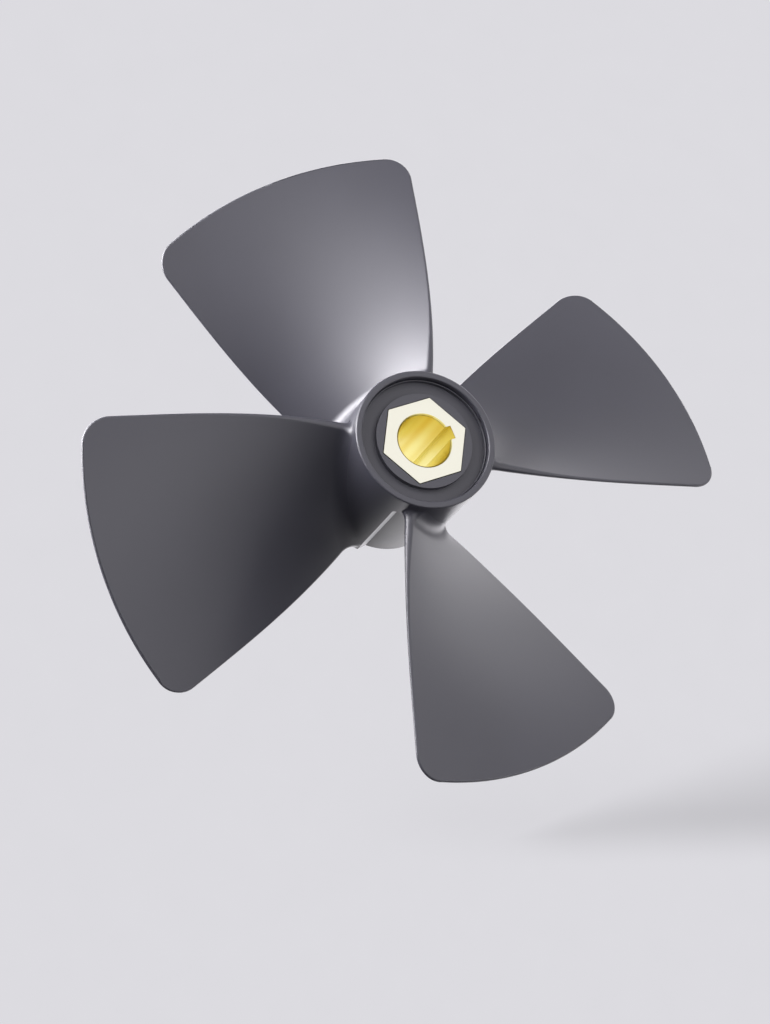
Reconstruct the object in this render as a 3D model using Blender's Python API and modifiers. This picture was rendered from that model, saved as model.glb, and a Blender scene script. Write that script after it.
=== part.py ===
"""Boat propeller with four blades, a drive hub insert and a keyed brass bush.

The shaft axis is +Z and points at the side with the recessed front.
The part stands on its flat rear face at z = 0.
"""
import math

import bmesh
import bpy

# Whole propeller, metres and degrees
TIP_R = 0.156
BLADE_COUNT = 4
FIT_GAP = 0.0003
WELD = 0.00001
# How far cutters reach past the faces that they cut
CUT_OVER = 0.002

# Barrel: the tube that carries the blades
BARREL_R = 0.03395
BARREL_BORE_R = 0.0307
BARREL_LENGTH = 0.0682
BARREL_EDGE = 0.0008
# Extra length behind the rear face, cut off once the blades are joined
REAR_SPARE = 0.006
TURN_STEPS = 96

# Blades. Angles run round the axis, and the coefficients are in steps of tip radius
BLADE_MIDDLE_DEG = 1.75
BLADE_MIDDLE_Z = 0.0294
HALF_ANGLE = (0.4962, -0.2348, 0.1630)
PITCH = (0.3373, -0.0315, -0.2757)
REFERENCE_R = 0.6
ROOT_THICKNESS = 0.0044
TIP_THICKNESS = 0.0018
SWELL_REACH = 0.028
CORNER_R = 0.0114
ROOT_FILLET = 0.0065
ROOT_FILLET_BACK = 0.0018
ROOT_DEPTH = 0.0015
NOSE_FILLET = 0.0025
NOSE_FILLET_HIGH = 0.0047
# A fillet's arc stops short of lying along the barrel.
FILLET_TOE_DEG = 78.0
SPAN_STEPS = 9
CHORD_STEPS = 10
NOSE_STEPS = 3

# Windows in the barrel behind the blades
WINDOW_LEFT_DEG = -43.4
WINDOW_TOP_R = 0.0025
WINDOW_BLADE_GAP = 0.0043
WINDOW_SIDE_LEAN_DEG = 5.2
WINDOW_OVER = 0.0025
WINDOW_UNDER = 0.0010
WINDOW_STEPS = 22

# Drive hub insert
INSERT_FLOOR_Z = 0.0630
BOSS_R = 0.0234
BOSS_Z = 0.0658
INSERT_EDGE = 0.0003
# Thin lip round the recessed floor, and the hollow curve that leads up to it
LIP_WIDTH = 0.0004
LIP_CURVE_R = 0.0022
LIP_CURVE_STEPS = 5

# Brass bush
HEX_R = 0.02178
HEX_TURN_DEG = 0.0
BUSH_Z = 0.0660
BORE_R = 0.0127
BORE_CHAMFER = 0.0008
KEY_WIDTH = 0.0064
KEY_FLOOR = 0.01507


def clear_scene():
    """Remove the objects that Blender starts with."""
    for item in list(bpy.data.objects):
        bpy.data.objects.remove(item, do_unlink=True)


def make_collection(name, hidden):
    """Make a collection for parts or for cutters."""
    group = bpy.data.collections.new(name)
    group.hide_render = hidden
    bpy.context.scene.collection.children.link(group)
    return group


def make_material(name, colour, metallic, roughness):
    """Make a plain surface material."""
    mat = bpy.data.materials.new(name)
    mat.use_nodes = True
    shader = mat.node_tree.nodes["Principled BSDF"]
    shader.inputs["Base Color"].default_value = (*colour, 1.0)
    shader.inputs["Metallic"].default_value = metallic
    shader.inputs["Roughness"].default_value = roughness
    return mat


def add_object(name, mesh, group):
    """Put a mesh in the scene as a named object."""
    item = bpy.data.objects.new(name, mesh)
    group.objects.link(item)
    if group.hide_render:
        item.display_type = "WIRE"
        item.hide_render = True
    return item


def mesh_from_faces(name, points, faces, group):
    """Make an object from points and faces, with flat faces and its normals outward."""
    mesh = bpy.data.meshes.new(name)
    mesh.from_pydata(points, [], faces)
    bm = bmesh.new()
    bm.from_mesh(mesh)
    # A twisted four-sided face isn't flat, and a cut needs flat faces.
    bmesh.ops.triangulate(bm, faces=bm.faces)
    bmesh.ops.recalc_face_normals(bm, faces=bm.faces)
    bm.to_mesh(mesh)
    bm.free()
    return add_object(name, mesh, group)


def apply_modifiers(item):
    """Turn an object's modifiers into plain mesh."""
    depsgraph = bpy.context.evaluated_depsgraph_get()
    baked = bpy.data.meshes.new_from_object(item.evaluated_get(depsgraph))
    baked.name = item.name
    item.modifiers.clear()
    item.data = baked


def turned(name, profile, group):
    """Turn a closed profile of (radius, height) points round the axis."""
    count = len(profile)
    mesh = bpy.data.meshes.new(name)
    points = [(radius, 0.0, height) for radius, height in profile]
    edges = [(i, (i + 1) % count) for i in range(count)]
    mesh.from_pydata(points, edges, [])
    item = add_object(name, mesh, group)
    screw = item.modifiers.new("turn", "SCREW")
    screw.axis = "Z"
    screw.steps = TURN_STEPS
    screw.render_steps = TURN_STEPS
    screw.use_merge_vertices = True
    screw.merge_threshold = 0.00001
    apply_modifiers(item)
    bm = bmesh.new()
    bm.from_mesh(item.data)
    bmesh.ops.recalc_face_normals(bm, faces=bm.faces)
    bm.to_mesh(item.data)
    bm.free()
    return item


def solid_boolean(item, other, operation):
    """Join another solid to an object, or cut it away."""
    mod = item.modifiers.new(operation.lower(), "BOOLEAN")
    mod.operation = operation
    mod.solver = "EXACT"
    mod.object = other
    apply_modifiers(item)


def weld(item):
    """Join the points that cuts leave almost on top of each other."""
    bm = bmesh.new()
    bm.from_mesh(item.data)
    bmesh.ops.remove_doubles(bm, verts=bm.verts, dist=WELD)
    bm.to_mesh(item.data)
    bm.free()


def by_tip(coefficients, radius):
    """Second order curve over the radius, centred on the reference radius."""
    step = radius / TIP_R - REFERENCE_R
    a, b, c = coefficients
    return a + b * step + c * step * step


def blade_thickness(radius):
    """Blade thickness: nearly even outside, and swelling smoothly towards the barrel."""
    swell = math.exp(-((radius - BARREL_R) / SWELL_REACH) ** 2)
    return TIP_THICKNESS + (ROOT_THICKNESS - TIP_THICKNESS) * swell


def fillet_share(radius, height):
    """Share of a root fillet's width that a section at this radius has."""
    rise = max(0.0, 1.0 - (radius - BARREL_R) / height)
    toe = math.sin(math.radians(FILLET_TOE_DEG))
    return 1.0 - math.cos(math.asin(min(rise, toe)))


def blade_radii():
    """Radii of the blade's sections, each with its tip rounding as a share of the thickness."""
    rows = [(BARREL_R - ROOT_DEPTH, 1.0)]
    for angle in (FILLET_TOE_DEG, 65.0, 50.0, 35.0, 18.0, 0.0):
        rise = math.sin(math.radians(angle))
        rows.append((BARREL_R + ROOT_FILLET * (1.0 - rise), 1.0))
    first = BARREL_R + ROOT_FILLET
    last = TIP_R - CORNER_R
    for i in range(1, SPAN_STEPS + 1):
        rows.append((first + (last - first) * i / SPAN_STEPS, 1.0))
    for angle in (18.0, 35.0, 52.0):
        rows.append((last + CORNER_R * math.sin(math.radians(angle)), 1.0))
    half = TIP_THICKNESS / 2.0
    for angle in (0.0, 30.0, 55.0, 78.0):
        turn = math.radians(angle)
        rows.append((TIP_R - half * (1.0 - math.sin(turn)), math.cos(turn)))
    return rows


def corner_inset(radius):
    """How far the rounded tip corners draw a section's ends in."""
    into = (radius - (TIP_R - CORNER_R)) / CORNER_R
    if into <= 0.0:
        return 0.0
    return CORNER_R * (1.0 - math.sqrt(max(0.0, 1.0 - into * into)))


def section_rows(radius, rounding):
    """Front and back rows of one blade section, unrolled as (along the blade, across it)."""
    lead = by_tip(PITCH, radius) / (2.0 * math.pi)
    slant = math.hypot(radius, lead)
    plain_half = blade_thickness(radius) / 2.0
    half = plain_half * rounding
    reach = by_tip(HALF_ANGLE, radius) * slant - corner_inset(radius) - plain_half
    share = fillet_share(radius, ROOT_FILLET)
    front = half + share * ROOT_FILLET
    back = half + share * ROOT_FILLET_BACK
    nose = half + fillet_share(radius, NOSE_FILLET_HIGH) * NOSE_FILLET
    rows = []
    for side in (front, -back):
        row = []
        for k in range(NOSE_STEPS):
            turn = math.pi / 2.0 * k / NOSE_STEPS
            row.append((-reach - nose * math.cos(turn), side * math.sin(turn)))
        for k in range(CHORD_STEPS + 1):
            row.append((-reach + 2.0 * reach * k / CHORD_STEPS, side))
        for k in range(NOSE_STEPS - 1, -1, -1):
            turn = math.pi / 2.0 * k / NOSE_STEPS
            row.append((reach + nose * math.cos(turn), side * math.sin(turn)))
        rows.append(row)
    return rows, lead / slant, radius / slant


def wrap(radius, along, across, sine, cosine, turn):
    """Wrap an unrolled section point onto its cylinder."""
    arc = along * cosine + across * sine
    rise = across * cosine - along * sine
    angle = math.radians(BLADE_MIDDLE_DEG) + turn + arc / radius
    return (radius * math.cos(angle), radius * math.sin(angle), BLADE_MIDDLE_Z + rise)


def blade(index, group):
    """One blade as a loft through its sections, from inside the barrel wall to the tip."""
    turn = 2.0 * math.pi * index / BLADE_COUNT
    points = []
    rings = []
    for radius, rounding in blade_radii():
        (front, back), sine, cosine = section_rows(radius, rounding)
        ring_points = front + back[-2:0:-1]
        rings.append(range(len(points), len(points) + len(ring_points)))
        points += [wrap(radius, s, v, sine, cosine, turn) for s, v in ring_points]
    faces = []
    half = len(rings[0]) // 2
    for low, high in zip(rings, rings[1:]):
        count = len(low)
        for k in range(count):
            n = (k + 1) % count
            # The back row runs the other way, so its split is turned round. With the front and
            # back split alike, the blade keeps its thickness between the section points.
            if k < half:
                faces += [(low[k], low[n], high[n]), (low[k], high[n], high[k])]
            else:
                faces += [(low[k], low[n], high[k]), (low[n], high[n], high[k])]
    for ring in (rings[0], rings[-1]):
        faces += ladder_cap(ring)
    return mesh_from_faces(f"blade_{index}", points, faces, group)


def ladder_cap(ring):
    """Close a section with rungs between its front and back rows."""
    count = len(ring)
    half = count // 2
    faces = [(ring[0], ring[1], ring[count - 1])]
    for k in range(1, half - 1):
        faces.append((ring[k], ring[k + 1], ring[count - k - 1], ring[count - k]))
    faces.append((ring[half - 1], ring[half], ring[half + 1]))
    return faces


def window_top(angle, left):
    """Height of a window's top edge: a round corner, then a line behind the blade's back."""
    lead = by_tip(PITCH, BARREL_R) / (2.0 * math.pi)
    slope = lead / BARREL_R
    drop = WINDOW_BLADE_GAP * math.hypot(1.0, slope)
    middle = math.radians(BLADE_MIDDLE_DEG)
    line = BLADE_MIDDLE_Z - lead * (angle - middle) - drop
    arc_middle = left + WINDOW_TOP_R / BARREL_R
    arc_z = BLADE_MIDDLE_Z - lead * (arc_middle - middle) - drop
    arc_z -= WINDOW_TOP_R * math.hypot(1.0, slope)
    across = (angle - arc_middle) * BARREL_R
    tangent = WINDOW_TOP_R * slope / math.hypot(1.0, slope)
    if across >= tangent:
        return line
    return arc_z + math.sqrt(max(0.0, WINDOW_TOP_R ** 2 - across ** 2))


def window_cutter(index, group):
    """Cutter for the window behind one blade, open towards the rear."""
    low = -REAR_SPARE - WINDOW_OVER
    turn = 2.0 * math.pi * index / BLADE_COUNT
    lead = by_tip(PITCH, BARREL_R) / (2.0 * math.pi)
    drop = WINDOW_BLADE_GAP * math.hypot(1.0, lead / BARREL_R)
    right = math.radians(BLADE_MIDDLE_DEG) + (BLADE_MIDDLE_Z - drop - low) / lead
    # The points lie close together round the corner, and evenly along the edge. The edge stops
    # just short of its end, where the window would have no height.
    shares = [0.0, 0.004, 0.012, 0.025, 0.04, 0.06, 0.08, 0.10]
    shares += [0.10 + 0.89 * k / WINDOW_STEPS for k in range(1, WINDOW_STEPS + 1)]
    radii = (BARREL_BORE_R - WINDOW_UNDER, BARREL_R + WINDOW_OVER)
    points = []
    for share in shares:
        for radius in radii:
            inward = (BARREL_R - radius) / (BARREL_R - BARREL_BORE_R)
            left = math.radians(WINDOW_LEFT_DEG + WINDOW_SIDE_LEAN_DEG * inward)
            angle = left + (right - left) * share
            top = window_top(angle, left)
            for height in (low, top):
                x = radius * math.cos(angle + turn)
                y = radius * math.sin(angle + turn)
                points.append((x, y, height))
    faces = [(0, 1, 3, 2)]
    for k in range(len(shares) - 1):
        a = 4 * k
        b = a + 4
        faces.append((a, a + 1, b + 1, b))
        faces.append((a + 2, a + 3, b + 3, b + 2))
        faces.append((a, a + 2, b + 2, b))
        faces.append((a + 1, a + 3, b + 3, b + 1))
    last = 4 * (len(shares) - 1)
    faces.append((last, last + 1, last + 3, last + 2))
    return mesh_from_faces(f"window_{index}", points, faces, group)


def box_cutter(name, low, high, group):
    """Box between two corners."""
    bm = bmesh.new()
    bmesh.ops.create_cube(bm, size=1.0)
    for vert in bm.verts:
        for axis in range(3):
            middle = (low[axis] + high[axis]) / 2.0
            vert.co[axis] = middle + vert.co[axis] * (high[axis] - low[axis])
    mesh = bpy.data.meshes.new(name)
    bm.to_mesh(mesh)
    bm.free()
    return add_object(name, mesh, group)


def hexagon(name, radius, low, high, group):
    """Upright six-sided prism."""
    bpy.ops.mesh.primitive_cylinder_add(vertices=6, radius=radius, depth=high - low)
    item = bpy.context.object
    mesh = item.data
    mesh.name = name
    # The primitive's first corner is on +Y.
    turn = math.radians(HEX_TURN_DEG - 90.0)
    for vert in mesh.vertices:
        x, y, z = vert.co
        vert.co.x = x * math.cos(turn) - y * math.sin(turn)
        vert.co.y = x * math.sin(turn) + y * math.cos(turn)
        vert.co.z = z + (low + high) / 2.0
    bpy.data.objects.remove(item, do_unlink=True)
    return add_object(name, mesh, group)


def bladed_barrel(parts, cutters):
    """Barrel tube with its four blades, moulded in one piece."""
    edge = BARREL_EDGE
    profile = [
        (BARREL_R - edge, BARREL_LENGTH),
        (BARREL_R - 0.3 * edge, BARREL_LENGTH - 0.3 * edge),
        (BARREL_R, BARREL_LENGTH - edge),
        (BARREL_R, -REAR_SPARE),
        (BARREL_BORE_R, -REAR_SPARE),
        (BARREL_BORE_R, BARREL_LENGTH - edge),
        (BARREL_BORE_R + edge, BARREL_LENGTH),
    ]
    item = turned("bladed_barrel", profile, parts)
    for index in range(BLADE_COUNT):
        solid_boolean(item, blade(index, cutters), "UNION")
    for index in range(BLADE_COUNT):
        solid_boolean(item, window_cutter(index, cutters), "DIFFERENCE")
    reach = 1.2 * TIP_R
    base = box_cutter("below_floor", (-reach, -reach, -reach), (reach, reach, 0.0), cutters)
    solid_boolean(item, base, "DIFFERENCE")
    weld(item)
    return item


def drive_insert(parts, cutters):
    """Round insert that fills the barrel and carries the bush in a six-sided hole."""
    radius = BARREL_BORE_R - FIT_GAP
    edge = INSERT_EDGE
    profile = [
        (radius, INSERT_FLOOR_Z + LIP_CURVE_R),
        (radius, edge),
        (radius - edge, 0.0),
        (0.0, 0.0),
        (0.0, BOSS_Z),
        (BOSS_R - edge, BOSS_Z),
        (BOSS_R, BOSS_Z - edge),
        (BOSS_R, INSERT_FLOOR_Z),
    ]
    inner = radius - LIP_WIDTH
    for k in range(LIP_CURVE_STEPS + 1):
        turn = math.pi / 2.0 * k / LIP_CURVE_STEPS
        out = inner - LIP_CURVE_R * (1.0 - math.sin(turn))
        profile.append((out, INSERT_FLOOR_Z + LIP_CURVE_R * (1.0 - math.cos(turn))))
    item = turned("drive_insert", profile, parts)
    hole_r = HEX_R + FIT_GAP / math.cos(math.pi / 6.0)
    hole = hexagon("bush_hole", hole_r, -CUT_OVER, BUSH_Z + CUT_OVER, cutters)
    solid_boolean(item, hole, "DIFFERENCE")
    return item


def brass_bush(parts, cutters):
    """Six-sided bush with a chamfered bore and a keyway."""
    item = hexagon("brass_bush", HEX_R, 0.0, BUSH_Z, parts)
    wide = BORE_R + BORE_CHAMFER + CUT_OVER
    profile = [
        (wide, BUSH_Z + CUT_OVER),
        (BORE_R, BUSH_Z - BORE_CHAMFER),
        (BORE_R, BORE_CHAMFER),
        (wide, -CUT_OVER),
        (0.0, -CUT_OVER),
        (0.0, BUSH_Z + CUT_OVER),
    ]
    bore = turned("shaft_bore", profile, cutters)
    solid_boolean(item, bore, "DIFFERENCE")
    half = KEY_WIDTH / 2.0
    low = (0.0, -half, -CUT_OVER)
    high = (KEY_FLOOR, half, BUSH_Z + CUT_OVER)
    solid_boolean(item, box_cutter("keyway", low, high, cutters), "DIFFERENCE")
    return item


def finish_part(item, mat):
    """Give a part its material and smooth shading."""
    item.data.materials.clear()
    item.data.materials.append(mat)
    for face in item.data.polygons:
        face.material_index = 0
        face.use_smooth = True


def main():
    """Build the whole propeller."""
    clear_scene()
    parts = make_collection("boat_propeller", False)
    cutters = make_collection("cutters", True)
    moulded = make_material("moulded_grey", (0.115, 0.115, 0.13), 0.0, 0.42)
    insert = make_material("insert_grey", (0.09, 0.09, 0.10), 0.0, 0.5)
    brass = make_material("brass", (0.82, 0.66, 0.22), 1.0, 0.3)
    finish_part(bladed_barrel(parts, cutters), moulded)
    finish_part(drive_insert(parts, cutters), insert)
    finish_part(brass_bush(parts, cutters), brass)


main()
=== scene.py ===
# %% [markdown]
# # A boat propeller in Blender
# This lesson dresses a boat propeller that has already been built as a solid model. The real thing
# is three parts: one grey moulding with four wide blades on a barrel, a round insert pushed into
# the barrel, and a six-sided brass bush that slides on a keyed shaft. The solid model comes first,
# so that every finer piece made here can be placed from the same measured sizes. They are in metres.
# Only the rounding of the rim and the thin lip on the insert are drawn a little finer here.

# %% Load the solid model
import math

import bmesh
import bpy
from mathutils import Matrix, Vector


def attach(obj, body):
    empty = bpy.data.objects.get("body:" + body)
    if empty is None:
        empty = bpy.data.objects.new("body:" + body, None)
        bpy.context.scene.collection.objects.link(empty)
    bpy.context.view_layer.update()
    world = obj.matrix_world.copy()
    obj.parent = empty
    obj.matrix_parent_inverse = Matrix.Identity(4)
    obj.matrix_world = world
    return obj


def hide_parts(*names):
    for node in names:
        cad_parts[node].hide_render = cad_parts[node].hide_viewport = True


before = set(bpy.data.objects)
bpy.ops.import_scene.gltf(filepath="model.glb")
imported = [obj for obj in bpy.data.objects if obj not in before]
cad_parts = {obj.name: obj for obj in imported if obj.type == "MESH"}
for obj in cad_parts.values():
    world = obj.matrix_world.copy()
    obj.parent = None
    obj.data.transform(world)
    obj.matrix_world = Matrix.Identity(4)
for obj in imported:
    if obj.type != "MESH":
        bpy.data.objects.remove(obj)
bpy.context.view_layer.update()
print("solid parts:", sorted(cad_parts))

# %% [markdown]
# ## Camera
# A photograph can be matched by finding where its camera stood. This one looks down at the front of
# the hub from the left, with a fairly long lens, which keeps the blades nearly equal in size. What
# is given is where it looks and which way is roughly up, and its own three axes follow from that.
# Directions are easier to fit to a photograph than three angles, and the panels need them later.

# %% Set up the camera
CAMERA_AT = Vector((-0.4682, -0.2492, 1.0124))
LOOKS_ALONG = Vector((0.4088, 0.2088, -0.8884)).normalized()
ROUGHLY_UP = Vector((0.2717, 0.9015, 0.3369))
LENS_MM = 82.81
SENSOR_MM = 36.0
CAMERA_RIGHT = LOOKS_ALONG.cross(ROUGHLY_UP).normalized()
CAMERA_UP = CAMERA_RIGHT.cross(LOOKS_ALONG).normalized()
lens_data = bpy.data.cameras.new("camera")
lens_data.lens = LENS_MM
lens_data.sensor_width = SENSOR_MM
camera = bpy.data.objects.new("camera", lens_data)
turn_to_view = Matrix((CAMERA_RIGHT, CAMERA_UP, -LOOKS_ALONG)).transposed()
camera.matrix_world = Matrix.Translation(CAMERA_AT) @ turn_to_view.to_4x4()
bpy.context.scene.collection.objects.link(camera)
bpy.context.scene.camera = camera
bpy.context.scene.view_settings.view_transform = "Standard"
print("camera", [round(v, 3) for v in camera.location])

# %% [markdown]
# ## Barrel and windows
# The barrel is a tube with a window behind each blade, open at the rear, where the mould's core was
# drawn out. A window has an upright side, a round corner, and a long edge that runs along behind the
# blade, so its shape follows from the blade's pitch. The pitch changes with the radius. It is kept as
# a short curve: its value at 0.6 of the tip radius, how fast it changes there, and how much it bends.
# Working the edges out from the pitch, instead of typing in points, keeps window and blade in step.

# %% Edges of a window
TIP_R = 0.156
BLADES = 4
QUARTER = 2 * math.pi / BLADES
BARREL_R = 0.03395
BLADE_MIDDLE = math.radians(1.75)
BLADE_MIDDLE_Z = 0.0294
REFERENCE_R = 0.6
PITCH = (0.3373, -0.0315, -0.2757)
WINDOW_SIDE = math.radians(-43.4)
WINDOW_CORNER_R = 0.0025
WINDOW_BLADE_GAP = 0.0043


def on_curve(numbers, radius):
    """Read one of the blade's curves at a radius."""
    step = radius / TIP_R - REFERENCE_R
    return numbers[0] + numbers[1] * step + numbers[2] * step * step


barrel_lead = on_curve(PITCH, BARREL_R) / (2 * math.pi)
barrel_slope = barrel_lead / BARREL_R
steep = math.hypot(1.0, barrel_slope)


def window_line(angle):
    """Height of the window's long edge, which runs along behind the blade."""
    return BLADE_MIDDLE_Z - barrel_lead * (angle - BLADE_MIDDLE) - WINDOW_BLADE_GAP * steep


corner_angle = WINDOW_SIDE + WINDOW_CORNER_R / BARREL_R
corner_z = window_line(corner_angle) - WINDOW_CORNER_R * steep
line_turn = math.atan(barrel_slope)
foot_angle = BLADE_MIDDLE + (BLADE_MIDDLE_Z - WINDOW_BLADE_GAP * steep) / barrel_lead
window_top = corner_z + WINDOW_CORNER_R


def on_corner(turn):
    """A point on the window's round corner, as (angle, height). Turn 0 is its top."""
    angle = corner_angle + WINDOW_CORNER_R * math.sin(turn) / BARREL_R
    return angle, corner_z + WINDOW_CORNER_R * math.cos(turn)


print(f"propeller {2000 * TIP_R:.0f} mm across, windows {1000 * window_top:.1f} mm high")

# %% [markdown]
# The windows could be cut with a boolean, but that leaves ragged faces that are hard to round over.
# So one quarter of the wall is laid out as a grid whose left and right ends follow the windows'
# edges. Every row then runs neatly from window to window, and the rounded edges come out clean.

# %% Lay out a quarter of the wall
BARREL_LENGTH = 0.0682
ACROSS = 64
STRAIGHT_ROWS = 44
CORNER_ROWS = 10
BAND_ROWS = 8
LEG_ROWS = STRAIGHT_ROWS + CORNER_ROWS


def row_ends(row):
    """Left and right end of one row of the wall, as (angle, height) pairs."""
    if row <= STRAIGHT_ROWS:
        share = row / STRAIGHT_ROWS
        top_angle, top_z = on_corner(line_turn)
        left = (foot_angle + (top_angle - foot_angle) * share, top_z * share)
        right = (WINDOW_SIDE + QUARTER, corner_z * share)
        return left, right
    if row <= LEG_ROWS:
        share = (row - STRAIGHT_ROWS) / CORNER_ROWS
        left = on_corner(line_turn * (1 - share))
        right = on_corner(-math.pi / 2 * (1 - share))
        return left, (right[0] + QUARTER, right[1])
    share = (row - LEG_ROWS) / BAND_ROWS
    height = window_top + (BARREL_LENGTH - window_top) * share
    return (corner_angle, height), (corner_angle + QUARTER, height)


def wall_quarter(bm):
    """Shape a flat grid into the outside of one quarter of the barrel."""
    rows = LEG_ROWS + BAND_ROWS
    bmesh.ops.create_grid(bm, x_segments=ACROSS, y_segments=rows, size=1.0)
    for vert in bm.verts:
        share = (vert.co.x + 1) / 2
        left, right = row_ends(round((vert.co.y + 1) / 2 * rows))
        angle = left[0] + (right[0] - left[0]) * share
        height = left[1] + (right[1] - left[1]) * share
        vert.co = (BARREL_R * math.cos(angle), BARREL_R * math.sin(angle), height)


print(f"{LEG_ROWS + BAND_ROWS} rows over a length of {1000 * BARREL_LENGTH:.1f} mm")

# %% [markdown]
# Nothing comes out of a mould with a razor edge. Bevel rounds edges over, and has to be told which
# ones: here those where two faces meet at a clear angle, so that no edge is picked by hand. The
# other three quarters of the barrel are copies, and so are three of the blades. Spin makes them.

# %% Round edges over and repeat a quarter
SHARP_DEGREES = 40


def sharp_edges(bm, degrees):
    """Edges where two faces meet at more than this angle."""
    limit = math.radians(degrees)
    return [e for e in bm.edges if len(e.link_faces) == 2 and e.calc_face_angle(0.0) > limit]


def soften(bm, edges, width, segments):
    """Round the given edges over, as a mould or a file leaves them."""
    bmesh.ops.bevel(
        bm, geom=edges, offset=width, offset_type="OFFSET", segments=segments,
        profile=0.5, affect="EDGES", clamp_overlap=True, material=-1,
    )


def repeat_round(bm):
    """Copy one quarter of the propeller round the shaft axis to make all four."""
    bmesh.ops.spin(
        bm, geom=bm.verts[:] + bm.edges[:] + bm.faces[:], axis=(0, 0, 1), cent=(0, 0, 0),
        angle=QUARTER * (BLADES - 1), steps=BLADES - 1, use_duplicate=True,
    )


print(f"edges over {SHARP_DEGREES} degrees are rounded, and a quarter is made {BLADES} times")

# %% [markdown]
# A window's upright side isn't square to the wall: it leans, so that the mould's core could slide
# out. Building a wall with leaning ends is hard, but pushing finished points over is easy. Points
# near that side slide along the window's long edge, more and more towards the inside of the wall.

# %% Lean the sides of the windows
BARREL_BORE_R = 0.0307
WINDOW_SIDE_LEAN = math.radians(5.2)
LEAN_NEAR = math.radians(6)
LEAN_REACH = math.radians(20)
LEAN_STOPS_BELOW_RIM = 0.002


def ease(value):
    """Go smoothly from 0 to 1."""
    value = min(1.0, max(0.0, value))
    return value * value * (3 - 2 * value)


def lean_window_sides(bm):
    """Lean the upright side of each window inward through the wall."""
    wall = BARREL_R - BARREL_BORE_R
    lean_top = BARREL_LENGTH - LEAN_STOPS_BELOW_RIM
    for vert in bm.verts:
        radius = math.hypot(vert.co.x, vert.co.y)
        depth = ease((BARREL_R - radius) / wall)
        angle = math.atan2(vert.co.y, vert.co.x)
        away = (angle - WINDOW_SIDE + QUARTER / 2) % QUARTER - QUARTER / 2
        near = 1 - ease((abs(away) - LEAN_NEAR) / (LEAN_REACH - LEAN_NEAR))
        below = min(1.0, vert.co.z / corner_z)
        above = 1 - ease((vert.co.z - window_top) / (lean_top - window_top))
        slide = WINDOW_SIDE_LEAN * depth * near * above
        angle += slide
        height = vert.co.z - barrel_lead * slide * below
        vert.co = (radius * math.cos(angle), radius * math.sin(angle), height)


print(f"the wall is {1000 * (BARREL_R - BARREL_BORE_R):.2f} mm thick")

# %% [markdown]
# Now the steps come together. The skin of one quarter is copied round, and its seams are merged.
# Solidify gives it thickness, inward from the outside, because the outside is what was measured.
# The rim at the front is rounded more than the other edges, and the windows' sides are leaned last.

# %% Make the barrel
RIM_ROUND = 0.0009
WALL_EDGE_ROUND = 0.0004
SAME_POINT = 0.00002


def make_barrel(bm):
    """The barrel wall with its four windows, and its edges rounded over."""
    wall_quarter(bm)
    repeat_round(bm)
    bmesh.ops.remove_doubles(bm, verts=bm.verts, dist=SAME_POINT)
    bmesh.ops.recalc_face_normals(bm, faces=bm.faces)
    if sum(f.normal.xy.dot(f.calc_center_median().xy) for f in bm.faces) < 0:
        bmesh.ops.reverse_faces(bm, faces=bm.faces)
    bmesh.ops.solidify(bm, geom=bm.faces[:], thickness=BARREL_R - BARREL_BORE_R)
    radii = [math.hypot(v.co.x, v.co.y) for v in bm.verts]
    print(f"wall from {1000 * min(radii):.2f} to {1000 * max(radii):.2f} mm from the axis")
    bmesh.ops.recalc_face_normals(bm, faces=bm.faces)
    edges = sharp_edges(bm, SHARP_DEGREES)
    front = [e for e in edges if min(v.co.z for v in e.verts) > BARREL_LENGTH - 1e-6]
    soften(bm, front, RIM_ROUND, 5)
    soften(bm, sharp_edges(bm, SHARP_DEGREES), WALL_EDGE_ROUND, 3)
    lean_window_sides(bm)


barrel = bmesh.new()
make_barrel(barrel)
print("barrel wall:", len(barrel.faces), "faces")

# %% [markdown]
# ## Blades
# A propeller blade is a flat plate that has been wrapped round a cylinder while it twists. It could
# be a skin stretched over sections, but its round rim would then be hard to make. So each blade is
# modelled as exactly that plate. A flat grid is thickened and its rim is rounded over with a bevel.
# Its size is in plain numbers, from -1 to 1 across, and it gets its real size when it is wrapped.

# %% Make a flat blade blank
RIM = 0.02
FOOT = 0.04
CHORD_FACES = 60
SPAN_FACES = 84


def flat_blank(bm):
    """A thick plate. It is flat from -1 to 1 across and up to 1 outward, with a round rim."""
    bmesh.ops.create_grid(bm, x_segments=CHORD_FACES, y_segments=SPAN_FACES, size=1.0)
    for vert in bm.verts:
        vert.co.x *= 1 + RIM
        vert.co.y = -FOOT + (vert.co.y + 1) / 2 * (1 + RIM + FOOT)
    bmesh.ops.solidify(bm, geom=bm.faces[:], thickness=2 * RIM)
    middle = sum(v.co.z for v in bm.verts) / len(bm.verts)
    bmesh.ops.translate(bm, verts=bm.verts, vec=(0, 0, -middle))
    rim = [e for e in sharp_edges(bm, 60) if min(v.co.y for v in e.verts) > -FOOT + 0.001
           or abs(e.verts[0].co.x - e.verts[1].co.x) < 1e-6]
    rim = [e for e in rim if abs(e.verts[0].co.z - e.verts[1].co.z) < 1e-6]
    bmesh.ops.bevel(
        bm, geom=rim, offset=0.98 * RIM, offset_type="OFFSET", segments=6,
        profile=0.5, affect="EDGES", clamp_overlap=False, material=-1,
    )


print(f"blank: {CHORD_FACES} by {SPAN_FACES} faces")

# %% [markdown]
# The blade is widest near its tip, thin there, and thicker towards the barrel, and its foot flares
# out so that it flows into the wall. Each of these is a small function of the radius, which is
# easier to read and to change than a table of points. The fillet is part of a circle.

# %% Width and thickness of a blade
HALF_ANGLE = (0.4962, -0.2348, 0.1630)
ROOT_THICKNESS = 0.0044
TIP_THICKNESS = 0.0018
SWELL_REACH = 0.028


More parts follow.
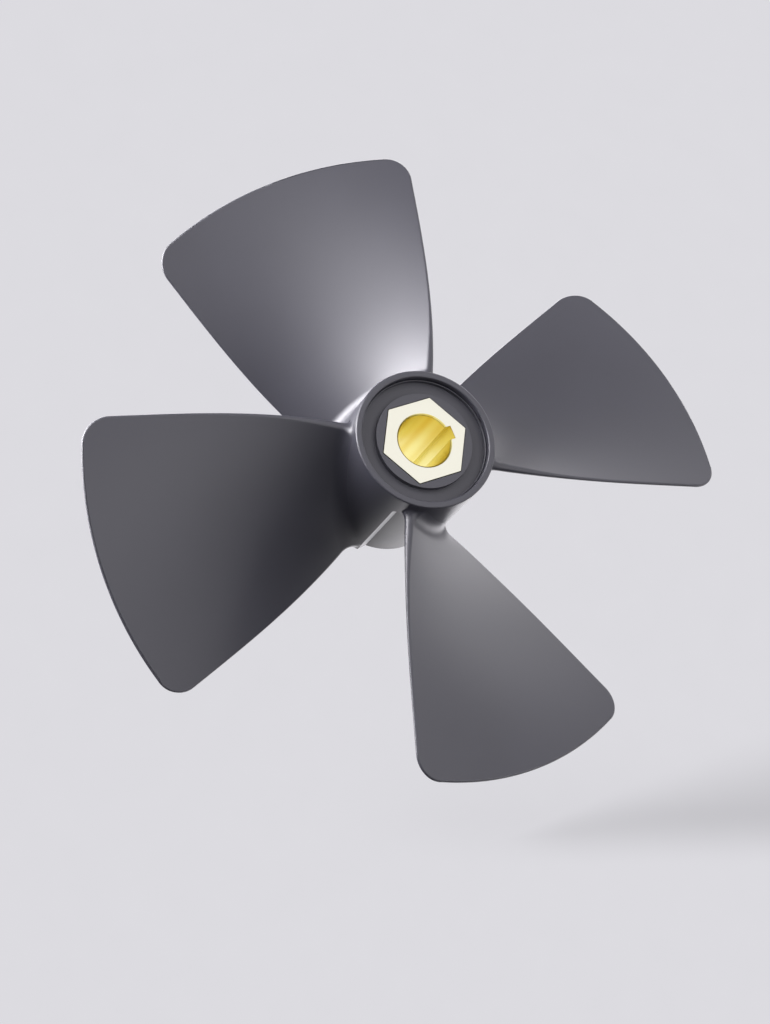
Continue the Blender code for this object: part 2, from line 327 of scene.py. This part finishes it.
def half_width(radius):
    """Half the blade's width along its helix at a radius."""
    lead = on_curve(PITCH, radius) / (2 * math.pi)
    return on_curve(HALF_ANGLE, radius) * math.hypot(radius, lead)


def half_thickness(radius):
    """Half the blade's thickness at a radius. It swells smoothly towards the barrel."""
    swell = math.exp(-((radius - BARREL_R) / SWELL_REACH) ** 2)
    return (TIP_THICKNESS + (ROOT_THICKNESS - TIP_THICKNESS) * swell) / 2


def fillet_share(radius, height):
    """Share of a fillet's width that is left at a radius."""
    rise = min(1.0, max(0.0, 1 - (radius - BARREL_R) / height))
    return 1 - math.cos(math.asin(rise))


for radius in (BARREL_R, TIP_R):
    print(f"blade at {1000 * radius:.0f} mm: {2000 * half_width(radius):.0f} mm wide, "
          f"{2000 * half_thickness(radius):.1f} mm thick")

# %% [markdown]
# Every point of the blank knows how far across, how far out and how far off the middle plane it is.
# The outward part gives its radius, and slows down where the foot flares and where the tip's corners
# are rounded. The other two are turned by the pitch at that radius, which makes the twist. The last
# step bends the result round the shaft axis.

# %% Wrap a point to its place
FLARE = 0.2
CORNER_START = 0.72
CORNER_R = 0.0114
FILLET = 0.0065
FILLET_BACK = 0.0018
NOSE_FILLET = 0.0025
NOSE_FILLET_HIGH = 0.0047
ROOT_DEPTH = 0.0015
BLADE_R = TIP_R - 0.00015
FOOT_STOPS_AT = WINDOW_SIDE + QUARTER - 0.012


def wrap_point(x, y, lift):
    """Place of one point of the blank on the finished blade."""
    round_r = CORNER_R - TIP_THICKNESS / 2
    corner = 0.0
    outer = BLADE_R - CORNER_R
    inner = BARREL_R + FILLET
    row = min(y, 1.0)
    if row < 0:
        radius = BARREL_R + ROOT_DEPTH * row / FOOT
    elif row < FLARE:
        radius = BARREL_R + FILLET * (1 - math.cos(math.pi / 2 * row / FLARE))
    elif row < CORNER_START:
        radius = inner + (outer - inner) * (row - FLARE) / (CORNER_START - FLARE)
    else:
        corner = math.pi / 2 * (row - CORNER_START) / (1 - CORNER_START)
        radius = outer + round_r * math.sin(corner)
    half = half_thickness(radius)
    flat = half_width(radius) - half - round_r * (1 - math.cos(corner))
    front = half + fillet_share(radius, FILLET) * FILLET
    back = half + fillet_share(radius, FILLET) * FILLET_BACK
    over = min(1.0, max(0.0, (abs(x) - 1) / RIM))
    beyond = min(1.0, max(0.0, (y - 1) / RIM))
    nose = half + fillet_share(radius, NOSE_FILLET_HIGH) * NOSE_FILLET
    along = math.copysign(flat * min(1.0, abs(x)) + nose * over * math.cos(corner), x)
    radius += nose * over * math.sin(corner) + half * beyond * (1 - over)
    lift *= front if lift > 0 else back
    lead = on_curve(PITCH, radius) / (2 * math.pi)
    slant = math.hypot(radius, lead)
    arc = (along * radius + lift * lead) / slant
    rise = (lift * radius - along * lead) / slant
    # A foot never reaches over the upright side of the next window.
    angle = min(BLADE_MIDDLE + arc / radius, FOOT_STOPS_AT)
    return Vector((radius * math.cos(angle), radius * math.sin(angle), BLADE_MIDDLE_Z + rise))


print("middle of a blade's tip:", [round(v, 4) for v in wrap_point(0.0, 1.0, 0.0)])

# %% [markdown]
# The lower corner of each blade would hang below the flat rear face. It is cut off there and the cut
# is closed, so the propeller can stand on that face. Cutting one blade before it is copied is enough.

# %% Make the blades
def trim_below_floor(bm):
    """Cut off what hangs below the flat rear face, and close the cut."""
    geom = bm.verts[:] + bm.edges[:] + bm.faces[:]
    cut = bmesh.ops.bisect_plane(
        bm, geom=geom, dist=1e-7, plane_co=(0, 0, 0), plane_no=(0, 0, 1), clear_inner=True,
    )
    rim = [e for e in cut["geom_cut"] if isinstance(e, bmesh.types.BMEdge) and e.is_boundary]
    bmesh.ops.edgeloop_fill(bm, edges=rim)


def make_blades(bm):
    """One blade, wrapped, trimmed and copied round the barrel."""
    flat_blank(bm)
    for vert in bm.verts:
        vert.co = wrap_point(vert.co.x, vert.co.y, vert.co.z / RIM)
    trim_below_floor(bm)
    bmesh.ops.recalc_face_normals(bm, faces=bm.faces)
    repeat_round(bm)


blades = bmesh.new()
make_blades(blades)
open_edges = [e for e in blades.edges if len(e.link_faces) != 2]
print("blades:", len(blades.faces), "faces,", len(open_edges), "open edges")

# %% [markdown]
# ## One moulding
# The real blades and barrel come out of the mould as one piece, so they become one object here. The
# flared foot of each blade meets the barrel without a step, and its last rows lie inside the wall. A
# boolean could weld them, but it would spoil the even faces round the fillet, and nothing of the
# overlap shows. `finish_piece` turns a bmesh into an object, smooths its shading, hangs it on the
# propeller's root and hides the solid part that it stands for. Weighted normals keep flat faces flat
# beside rounded edges.

# %% Join the moulding
TINY_EDGE = 0.000002


def finish_piece(bm, name, stands_for):
    """Turn a bmesh into a smooth shaded object that rides on the propeller."""
    bmesh.ops.dissolve_degenerate(bm, dist=TINY_EDGE, edges=bm.edges)
    mesh = bpy.data.meshes.new(name)
    bm.to_mesh(mesh)
    bm.free()
    for face in mesh.polygons:
        face.use_smooth = True
    piece = bpy.data.objects.new(name, mesh)
    bpy.context.scene.collection.objects.link(piece)
    flats = piece.modifiers.new("flat faces stay flat", "WEIGHTED_NORMAL")
    flats.weight = 100
    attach(piece, "root")
    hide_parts(stands_for)
    print(f"{name}: {len(mesh.vertices)} points, {len(mesh.polygons)} faces")
    return piece


def joined(first, second):
    """Put the second bmesh into the first."""
    spare = bpy.data.meshes.new("spare")
    second.to_mesh(spare)
    first.from_mesh(spare)
    bpy.data.meshes.remove(spare)
    second.free()
    return first


moulding = finish_piece(joined(barrel, blades), "bladed_moulding", "bladed_barrel")

# %% [markdown]
# ## Drive insert
# The insert is a round plug with a raised boss and a six-sided hole for the bush. A lathe-like Spin
# could make the round parts but not the hole. So the insert is built from a ring of points that is
# extruded from each place to the next. A ring can be a circle or a hexagon, as long as it keeps the
# same number of points, and so the round boss flows into the six-sided hole.

# %% Rings that can be round or six-sided
RING_POINTS = 192
SAME_RING_POINT = 0.000001


def unchanged(angle):
    """Leave a point of the ring at its own angle."""
    return angle


def ring(radius_at, height, angle_at=unchanged):
    """Say where a ring of points goes: its radius may change with the angle."""
    def place(angle):
        angle = angle_at(angle)
        radius = radius_at(angle)
        return Vector((radius * math.cos(angle), radius * math.sin(angle), height))

    return place


def six_sided(corner_radius):
    """Radius of a hexagon that has a corner on the keyway's side."""
    flat = corner_radius * math.cos(math.pi / 6)
    return lambda angle: flat / math.cos(angle % (math.pi / 3) - math.pi / 6)


def circle(radius):
    """Radius of a plain circle."""
    return lambda angle: radius


def carry_ring(bm, rings):
    """Extrude one ring of points through every ring's place and back to the first."""
    made = bmesh.ops.create_circle(bm, cap_ends=False, segments=RING_POINTS, radius=1.0)["verts"]
    angles = {vert: math.atan2(vert.co.y, vert.co.x) for vert in made}
    edges = list({e for v in made for e in v.link_edges})
    for vert, angle in angles.items():
        vert.co = rings[0](angle)
    for place in rings[1:] + rings[:1]:
        grown = bmesh.ops.extrude_edge_only(bm, edges=edges)["geom"]
        edges = [e for e in grown if isinstance(e, bmesh.types.BMEdge)]
        edges = [e for e in edges if not angles.keys() & set(e.verts)]
        carried = {}
        for vert in {v for e in edges for v in e.verts}:
            before = [v for e in vert.link_edges for v in e.verts if v in angles]
            carried[vert] = angles[before[0]]
        for vert, angle in carried.items():
            vert.co = place(angle)
        angles = carried
    bmesh.ops.remove_doubles(bm, verts=bm.verts, dist=SAME_RING_POINT)
    bmesh.ops.recalc_face_normals(bm, faces=bm.faces)


print(f"a ring has {RING_POINTS} points")

# %% [markdown]
# The insert's floor lies deeper than the rim, and a thin lip stands round it, against the barrel. In
# the photograph the lip is hardly more than a line of light, which comes from its rounded inner edge.
# So that edge is made in small steps, and the foot of the lip stays a sharp corner.

# %% Make the insert
INSERT_R = BARREL_BORE_R - 0.0003
INSERT_FLOOR_Z = 0.0630
LIP_HIGH = 0.0022
LIP_WIDE = 0.0005
LIP_ROUND = 0.0003
LIP_STEPS = 6
BOSS_R = 0.0234
BOSS_Z = 0.0658
HEX_R = 0.02178
HEX_HOLE_R = HEX_R + 0.0003 / math.cos(math.pi / 6)
INSERT_EDGE_ROUND = 0.0001


def lip_rings():
    """Rings over the top of the thin lip, round its inner edge and down to the floor."""
    top = INSERT_FLOOR_Z + LIP_HIGH
    inside = INSERT_R - LIP_WIDE
    rings = [ring(circle(INSERT_R), top)]
    for step in range(LIP_STEPS + 1):
        turn = math.pi / 2 * step / LIP_STEPS
        radius = inside + LIP_ROUND * (1 - math.sin(turn))
        rings.append(ring(circle(radius), top - LIP_ROUND * (1 - math.cos(turn))))
    rings.append(ring(circle(inside), INSERT_FLOOR_Z))
    return rings


def make_insert(bm):
    """Round plug with a lipped floor, a raised boss and a six-sided hole."""
    bottom = [ring(six_sided(HEX_HOLE_R), 0.0), ring(circle(INSERT_R), 0.0)]
    top = [
        ring(circle(BOSS_R), INSERT_FLOOR_Z),
        ring(circle(BOSS_R), BOSS_Z),
        ring(six_sided(HEX_HOLE_R), BOSS_Z),
    ]
    carry_ring(bm, bottom + lip_rings() + top)
    soften(bm, sharp_edges(bm, SHARP_DEGREES), INSERT_EDGE_ROUND, 2)


insert_mesh = bmesh.new()
make_insert(insert_mesh)
insert = finish_piece(insert_mesh, "hub_insert", "drive_insert")

# %% [markdown]
# ## Brass bush
# The bush is a length of six-sided brass bar with a bored hole and a keyway for the key that makes it
# turn with the shaft. Cutting the keyway with a boolean would leave long, thin faces. Here it is part
# of the bore's ring: where it opens, the radius follows the keyway's two sides and its flat floor.
# Some points are shifted so that they sit exactly on its corners.

# %% A bore with a keyway
BORE_R = 0.0127
KEY_HALF = 0.0032
KEY_FLOOR = 0.01507
FLOOR_POINT = 6
SIDE_POINT = 8


def keyed_angles(radius):
    """Shift a ring's points so that some lie exactly on the keyway's corners."""
    floor = math.atan2(KEY_HALF, KEY_FLOOR)
    side = math.asin(KEY_HALF / radius)
    marks = [0.0, FLOOR_POINT, SIDE_POINT, RING_POINTS / 2]
    angles = [0.0, floor, side, math.pi]

    def shifted(angle):
        index = abs(angle) / (2 * math.pi) * RING_POINTS
        for k in range(3):
            if index <= marks[k + 1] + 1e-6:
                share = (index - marks[k]) / (marks[k + 1] - marks[k])
                return math.copysign(angles[k] + (angles[k + 1] - angles[k]) * share, angle)
        return angle

    return shifted


def keyed(radius):
    """Radius of a bore that opens into the keyway."""
    floor = math.atan2(KEY_HALF, KEY_FLOOR)
    side = math.asin(KEY_HALF / radius)

    def radius_at(angle):
        turn = abs(angle)
        if turn < floor + 1e-9:
            return KEY_FLOOR / math.cos(turn)
        if turn < side:
            return KEY_HALF / math.sin(turn)
        return radius

    return radius_at


print(f"bore {2000 * BORE_R:.1f} mm across, keyway {2000 * KEY_HALF:.1f} mm wide")

# %% [markdown]
# Six rings make the whole bush: outside, front face, chamfer, bore, chamfer and rear face. Machined
# brass has crisper edges than a moulding, so they are rounded only a little.

# %% Make the bush
BUSH_Z = 0.0660
BORE_CHAMFER = 0.0008
BUSH_EDGE_ROUND = 0.00012
BUSH_SHARP_DEGREES = 30


def make_bush(bm):
    """Six-sided bar with a chamfered and keyed bore."""
    wide = BORE_R + BORE_CHAMFER
    carry_ring(bm, [
        ring(six_sided(HEX_R), 0.0),
        ring(six_sided(HEX_R), BUSH_Z),
        ring(keyed(wide), BUSH_Z, keyed_angles(wide)),
        ring(keyed(BORE_R), BUSH_Z - BORE_CHAMFER, keyed_angles(BORE_R)),
        ring(keyed(BORE_R), BORE_CHAMFER, keyed_angles(BORE_R)),
        ring(keyed(wide), 0.0, keyed_angles(wide)),
    ])
    soften(bm, sharp_edges(bm, BUSH_SHARP_DEGREES), BUSH_EDGE_ROUND, 2)


bush_mesh = bmesh.new()
make_bush(bush_mesh)
bush = finish_piece(bush_mesh, "keyed_bush", "brass_bush")

# %% [markdown]
# ## Writing shader maths
# A finish is a network of nodes. Wiring them one by one is hard to read, so a small class wraps a
# socket and lets plain sums such as `0.4 + 0.1 * grain` add the Math nodes.

# %% A socket that can be used in sums
class Wire:
    """One output socket of a finish, which can be used in sums."""

    def __init__(self, finish, socket):
        self.finish = finish
        self.socket = socket

    def maths(self, kind, first, second):
        return self.finish.node("ShaderNodeMath", {"operation": kind}, {0: first, 1: second})

    def __add__(self, other):
        return self.maths("ADD", self, other)

    def __radd__(self, other):
        return self.maths("ADD", other, self)

    def __sub__(self, other):
        return self.maths("SUBTRACT", self, other)

    def __rsub__(self, other):
        return self.maths("SUBTRACT", other, self)

    def __mul__(self, other):
        return self.maths("MULTIPLY", self, other)

    def __rmul__(self, other):
        return self.maths("MULTIPLY", other, self)

    def __truediv__(self, other):
        return self.maths("DIVIDE", self, other)


print("sums can be written with + - * and /")

# %% [markdown]
# Any other kind of node comes from `node`, which sets the node up first and then fills or links its
# sockets. The kinds that are used often get a short name of their own. Patterns are read in the
# piece's own space, so they stay on it wherever the camera stands.

# %% A finish and its nodes
class Finish:
    """A material and its nodes."""

    def __init__(self, name):
        self.material = bpy.data.materials.new(name)
        self.material.use_nodes = True
        self.tree = self.material.node_tree
        self.tree.nodes.clear()

    def node(self, kind, settings, values, out=0):
        """Add a node: its settings first, then the values or links of its sockets."""
        made = self.tree.nodes.new(kind)
        for key, value in settings.items():
            setattr(made, key, value)
        for key, value in values.items():
            if isinstance(value, Wire):
                self.tree.links.new(value.socket, made.inputs[key])
            else:
                made.inputs[key].default_value = value
        return Wire(self, made.outputs[out])

    def place(self):
        """Where a point is on the piece, in metres."""
        return self.node("ShaderNodeTexCoord", {}, {}, "Object")

    def noise(self, scale, detail, roughness, stretch=(1.0, 1.0, 1.0)):
        """Cloudy pattern from 0 to 1. A small stretch draws it out along that axis."""
        spot = self.node("ShaderNodeMapping", {}, {"Vector": self.place(), "Scale": stretch})
        values = {"Vector": spot, "Scale": scale, "Detail": detail, "Roughness": roughness}
        return self.node("ShaderNodeTexNoise", {}, values)

    def mix(self, share, first, second):
        """Blend two colours."""
        values = {"Factor": share, 6: first, 7: second}
        return self.node("ShaderNodeMix", {"data_type": "RGBA"}, values, 2)

    def dot(self, vector, direction):
        """How far a vector reaches along a direction."""
        return self.node(
            "ShaderNodeVectorMath", {"operation": "DOT_PRODUCT"}, {0: vector, 1: direction}, "Value"
        )

    def at_least(self, value, least):
        """A number that never falls below the given one."""
        return self.node("ShaderNodeMath", {"operation": "MAXIMUM"}, {0: value, 1: least})

    def fade(self, value, start, end):
        """Go softly from 0 at the start to 1 at the end."""
        values = {"Value": value, "From Min": start, "From Max": end}
        return self.node("ShaderNodeMapRange", {"interpolation_type": "SMOOTHSTEP"}, values)

    def bump(self, height, distance, strength):
        """Raise the surface by a pattern."""
        values = {"Height": height, "Distance": distance, "Strength": strength}
        return self.node("ShaderNodeBump", {}, values)

    def surface(self, values):
        """The main shader, wired to the material's output."""
        shader = self.node("ShaderNodeBsdfPrincipled", {}, values)
        out = self.tree.nodes.new("ShaderNodeOutputMaterial")
        self.tree.links.new(shader.socket, out.inputs["Surface"])
        return self.material


def colour(red, green, blue):
    """A colour given on a 0 to 255 scale, made linear for the shader."""
    parts = [c / 255 for c in (red, green, blue)]
    linear = [c / 12.92 if c <= 0.04045 else ((c + 0.055) / 1.055) ** 2.4 for c in parts]
    return (*linear, 1.0)


print("mid grey is", round(colour(128, 128, 128)[0], 3), "for the shader")

# %% [markdown]
# ## Moulded grey finish
# The blades are a filled plastic: satin, bluish grey, with a very fine grain from the mould and a
# faint cloudiness where the filler lies unevenly. A picture of real plastic would show seams and blur
# close up, and noise does neither. Base colour and roughness both drift a little with slow noise, and
# a fast, shallow noise gives the grain.

# %% Finish the moulding
def moulded_grey():
    """Satin filled plastic."""
    finish = Finish("moulded_grey")
    cloud = finish.noise(22.0, 3.0, 0.55)
    speck = finish.noise(1500.0, 2.0, 0.5)
    tint = finish.mix(cloud, colour(40, 40, 46), colour(45, 45, 52))
    roughness = 0.405 + 0.05 * cloud + 0.02 * speck
    grain = finish.bump(speck, 0.00002, 0.35)
    return finish.surface({
        "Base Color": tint, "Roughness": roughness, "Normal": grain, "IOR": 1.5,
    })


moulding.data.materials.append(moulded_grey())
print("finished", moulding.name)

# %% [markdown]
# ## Insert finish
# The insert is a second plastic, turned and left matt, so it catches less light than the blades.
# Fine rings from the tool show on a turned face. Cutting them into the mesh would take millions of
# faces, so a bump follows the distance from the shaft axis.

# %% Finish the insert
RINGS_PER_METRE = 16000.0


def insert_grey():
    """Matt plastic with faint turning rings."""
    finish = Finish("insert_grey")
    cloud = finish.noise(60.0, 2.0, 0.5)
    speck = finish.noise(1800.0, 2.0, 0.5)
    flat_place = finish.node(
        "ShaderNodeVectorMath", {"operation": "MULTIPLY"}, {0: finish.place(), 1: (1, 1, 0)}
    )
    radius = finish.node("ShaderNodeVectorMath", {"operation": "LENGTH"}, {0: flat_place}, "Value")
    rings = finish.node("ShaderNodeMath", {"operation": "SINE"}, {0: radius * RINGS_PER_METRE})
    tint = finish.mix(cloud, colour(40, 40, 46), colour(45, 45, 51))
    height = speck * 0.7 + rings * 0.15
    return finish.surface({
        "Base Color": tint, "Roughness": 0.47 + 0.06 * cloud,
        "Normal": finish.bump(height, 0.00002, 0.3), "IOR": 1.5,
    })


insert.data.materials.append(insert_grey())
print("finished", insert.name)

# %% [markdown]
# ## Brass finish
# The bush's front face is faced off and given a near-white colour, a painted sheen that stands in for
# the bright light it mirrors. Inside the bore the brass is deeper gold with painted streaks of
# reflection, and fine lines along the axis, left by the broach that cut the keyway. One material covers
# both, because they are one piece of metal: a mask from the height picks the front face.

# %% Finish the bush
ALONG_THE_BORE = (1.0, 1.0, 0.01)
FACE_STARTS_AT = BUSH_Z - 0.00013


def brass():
    """Machined brass: a near-white front face painted with its sheen, and a gold bore with painted
    reflection streaks and fine lines along it.
    """
    finish = Finish("brass")
    height = finish.node("ShaderNodeSeparateXYZ", {}, {"Vector": finish.place()}, "Z")
    face = finish.node("ShaderNodeMath", {"operation": "GREATER_THAN"}, {0: height, 1: FACE_STARTS_AT})
    # Painted reflection: soft lighter and darker gold streaks along the bore.
    painted_reflection_streaks = finish.fade(finish.noise(110.0, 1.0, 0.4, ALONG_THE_BORE), 0.36, 0.64)
    lines = finish.noise(500.0, 2.0, 0.5, ALONG_THE_BORE)
    cloud = finish.noise(120.0, 2.0, 0.5)
    bore = finish.mix(painted_reflection_streaks, colour(230, 206, 83), colour(241, 231, 147))
    # Painted sheen: the front face is near white, standing in for the bright light it mirrors.
    pale = finish.mix(cloud, colour(240, 239, 221), colour(242, 242, 225))
    return finish.surface({
        "Base Color": finish.mix(face, bore, pale), "Metallic": 1.0,
        "Roughness": 0.28 + 0.06 * lines,
        "Normal": finish.bump(lines, 0.00001, 0.15),
    })


bush.data.materials.append(brass())
print("finished", bush.name)

# %% [markdown]
# ## Floor and backdrop
# The propeller hangs over a plain pale floor, inside a large ball of the same paper, so that the
# background is pale from every side. Lit paper would shade off unevenly, so both glow by themselves.
# Only the camera sees them, so they don't hide the panels that light the blades, and Cycles is told
# not to count them as lamps, which keeps the picture quick and free of noise. A glowing floor shows
# no shadow. So the soft wedge of shadow to the right of the lower blade is drawn in its finish, with
# a dark core that opens from a tip, and a fainter border, and both end softly.

# %% Draw the floor's finish
SHADOW_TIP = Vector((0.1057, -0.1411, 0.0))
SHADOW_RUNS = Vector((0.9432, -0.3322, 0.0))
SHADOW_SIDE = Vector((0.3322, 0.9432, 0.0))
CORE_DARKNESS = 0.187
CORE_START = 0.035
CORE_FULL = 0.095
CORE_SIDES = (0.396, 0.062)
NARROWEST = 0.004
BORDER_DARKNESS = 0.073
BORDER_WIDTH = 0.094
BORDER_START = (-0.087, 0.052)
NEAR_SIDE = (-0.017, 0.024)
FAR_END = (0.60, 0.35)


def shadow_on(finish):
    """How dark the drawn shadow is, from 0 to 1, in metres along and across the wedge."""
    place = finish.place()
    along = finish.dot(place, SHADOW_RUNS) - SHADOW_TIP.dot(SHADOW_RUNS)
    across = finish.dot(place, SHADOW_SIDE) - SHADOW_TIP.dot(SHADOW_SIDE)
    opening = across / finish.at_least(along - CORE_START, NARROWEST)
    core = CORE_DARKNESS * finish.fade(opening, *CORE_SIDES) * finish.fade(along, CORE_START, CORE_FULL)
    border = finish.at_least(1.0 - across / BORDER_WIDTH, 0.0)
    border = BORDER_DARKNESS * border * border * finish.fade(along, *BORDER_START)
    ends = finish.fade(across, *NEAR_SIDE) * finish.fade(along, *FAR_END)
    return (core + border) * ends


def pale_floor():
    """Plain pale paper that glows evenly, with the soft shadow drawn on it."""
    finish = Finish("pale_floor")
    fibre = finish.noise(40.0, 2.0, 0.5)
    paper = finish.mix(fibre, colour(219, 218, 223), colour(221, 220, 225))
    glow = finish.mix(shadow_on(finish), paper, (0.0, 0.0, 0.0, 1.0))
    finish.material.cycles.emission_sampling = "NONE"
    return finish.surface({
        "Base Color": colour(20, 20, 20), "Roughness": 0.9, "Specular IOR Level": 0.0,
        "Emission Color": glow, "Emission Strength": 1.0,
    })


floor_paper = pale_floor()
print("the shadow takes away up to", CORE_DARKNESS + BORDER_DARKNESS, "of the glow")

# %% [markdown]
# A flat grid is all that the floor needs. The ball round it is so large that their seam lies far off,
# and it can't be seen, because both glow alike.

# %% Floor and backdrop
FLOOR_Z = -0.35
FLOOR_REACH = 12.0
BACKDROP_R = 11.0


def add_backdrop(name, bm, finish):
    """Make an object that shows in the picture but leaves the light on the propeller alone."""
    data = bpy.data.meshes.new(name)
    bm.to_mesh(data)
    bm.free()
    data.materials.append(finish)
    item = bpy.data.objects.new(name, data)
    item.visible_glossy = False
    item.visible_diffuse = False
    item.visible_shadow = False
    bpy.context.scene.collection.objects.link(item)


floor_mesh = bmesh.new()
bmesh.ops.create_grid(floor_mesh, x_segments=8, y_segments=8, size=FLOOR_REACH)
bmesh.ops.translate(floor_mesh, verts=floor_mesh.verts, vec=(0, 0, FLOOR_Z))
add_backdrop("floor", floor_mesh, floor_paper)
ball_mesh = bmesh.new()
bmesh.ops.create_uvsphere(ball_mesh, u_segments=64, v_segments=32, radius=BACKDROP_R)
add_backdrop("backdrop", ball_mesh, floor_paper)
print("floor", -FLOOR_Z, "m below the propeller")

# %% [markdown]
# ## Panels
# Dark satin plastic shows little but the reflection of what stands round it. So the light is built
# from large round soft panels, each given by the direction it comes from as the photographer sees
# it, half the angle that it fills, and its brightness. A panel's power follows from its brightness
# and size, so it can be made larger or smaller without getting darker or brighter to look at.

# %% A soft panel
HUB = Vector((0.0, 0.0, 0.04))
PANEL_DISTANCE = 1.5
STUDIO_WHITE = (1.0, 0.98, 1.02)


def only_on(name, *objects):
    """A group of objects, so that a lamp can be told to shine on nothing else."""
    group = bpy.data.collections.new(name)
    for item in objects:
        group.objects.link(item)
    return group


def seen_from_camera(right, up, back):
    """A direction given as the photographer sees it."""
    return (CAMERA_RIGHT * right + CAMERA_UP * up - LOOKS_ALONG * back).normalized()


def soft_panel(name, towards, half_angle, brightness, lit):
    """A round lamp that faces the hub and fills the given half angle, seen from there."""
    lamp = bpy.data.lights.new(name, "AREA")
    lamp.shape = "DISK"
    radius = PANEL_DISTANCE * math.tan(math.radians(half_angle))
    lamp.size = 2 * radius
    lamp.energy = brightness * (math.pi * radius) ** 2
    lamp.color = STUDIO_WHITE
    item = bpy.data.objects.new(name, lamp)
    item.location = HUB + towards * PANEL_DISTANCE
    item.rotation_mode = "QUATERNION"
    item.rotation_quaternion = towards.to_track_quat("Z", "Y")
    item.visible_camera = False
    item.light_linking.receiver_collection = lit
    bpy.context.scene.collection.objects.link(item)
    print(f"{name}: {2 * radius:.1f} m across")


grey_pieces = only_on("grey pieces", moulding, insert)
brass_piece = only_on("brass piece", bush)
print(f"panels stand {PANEL_DISTANCE} m from the hub")

# %% [markdown]
# The three panels on the left make the broad gleam on the upper blade, the ones behind light the
# rounded edges, and the wide ones fill in the grey. The brass would mirror them as harsh stripes, so
# light linking keeps them to the grey pieces. The bush has two very wide panels of its own, one in
# front and one behind. A faint glow from all round keeps the shadows from going black.

# %% Place the panels
soft_panel("far_left", seen_from_camera(-0.97, 0.25, -0.04), 22, 18.7, grey_pieces)
soft_panel("left", seen_from_camera(-0.86, 0.49, 0.16), 22, 17.9, grey_pieces)
soft_panel("upper_left", seen_from_camera(-0.52, 0.58, 0.62), 22, 6.5, grey_pieces)
soft_panel("beside_camera", seen_from_camera(0.38, -0.33, 0.86), 22, 2.4, grey_pieces)
soft_panel("front_right", seen_from_camera(0.54, 0.44, 0.71), 36, 1.85, grey_pieces)
soft_panel("right", seen_from_camera(0.98, -0.21, 0.04), 22, 3.0, grey_pieces)
soft_panel("top", seen_from_camera(0.24, 0.95, -0.21), 40, 0.72, grey_pieces)
soft_panel("behind_right", seen_from_camera(0.69, 0.46, -0.56), 30, 2.45, grey_pieces)
soft_panel("behind_low", seen_from_camera(0.23, -0.57, -0.79), 30, 3.2, grey_pieces)
soft_panel("behind", seen_from_camera(-0.26, 0.32, -0.91), 30, 8.4, grey_pieces)
towards_front = Vector((0.0, 0.0, 1.0))
soft_panel("bush_front", towards_front, 75, 1.0, brass_piece)
soft_panel("bush_behind", -towards_front, 75, 1.18, brass_piece)

WORLD_STRENGTH = 0.03
world = bpy.data.worlds.new("studio")
world.use_nodes = True
world.node_tree.nodes["Background"].inputs["Color"].default_value = (*STUDIO_WHITE, 1.0)
world.node_tree.nodes["Background"].inputs["Strength"].default_value = WORLD_STRENGTH
bpy.context.scene.world = world
print("the world glows at", WORLD_STRENGTH)
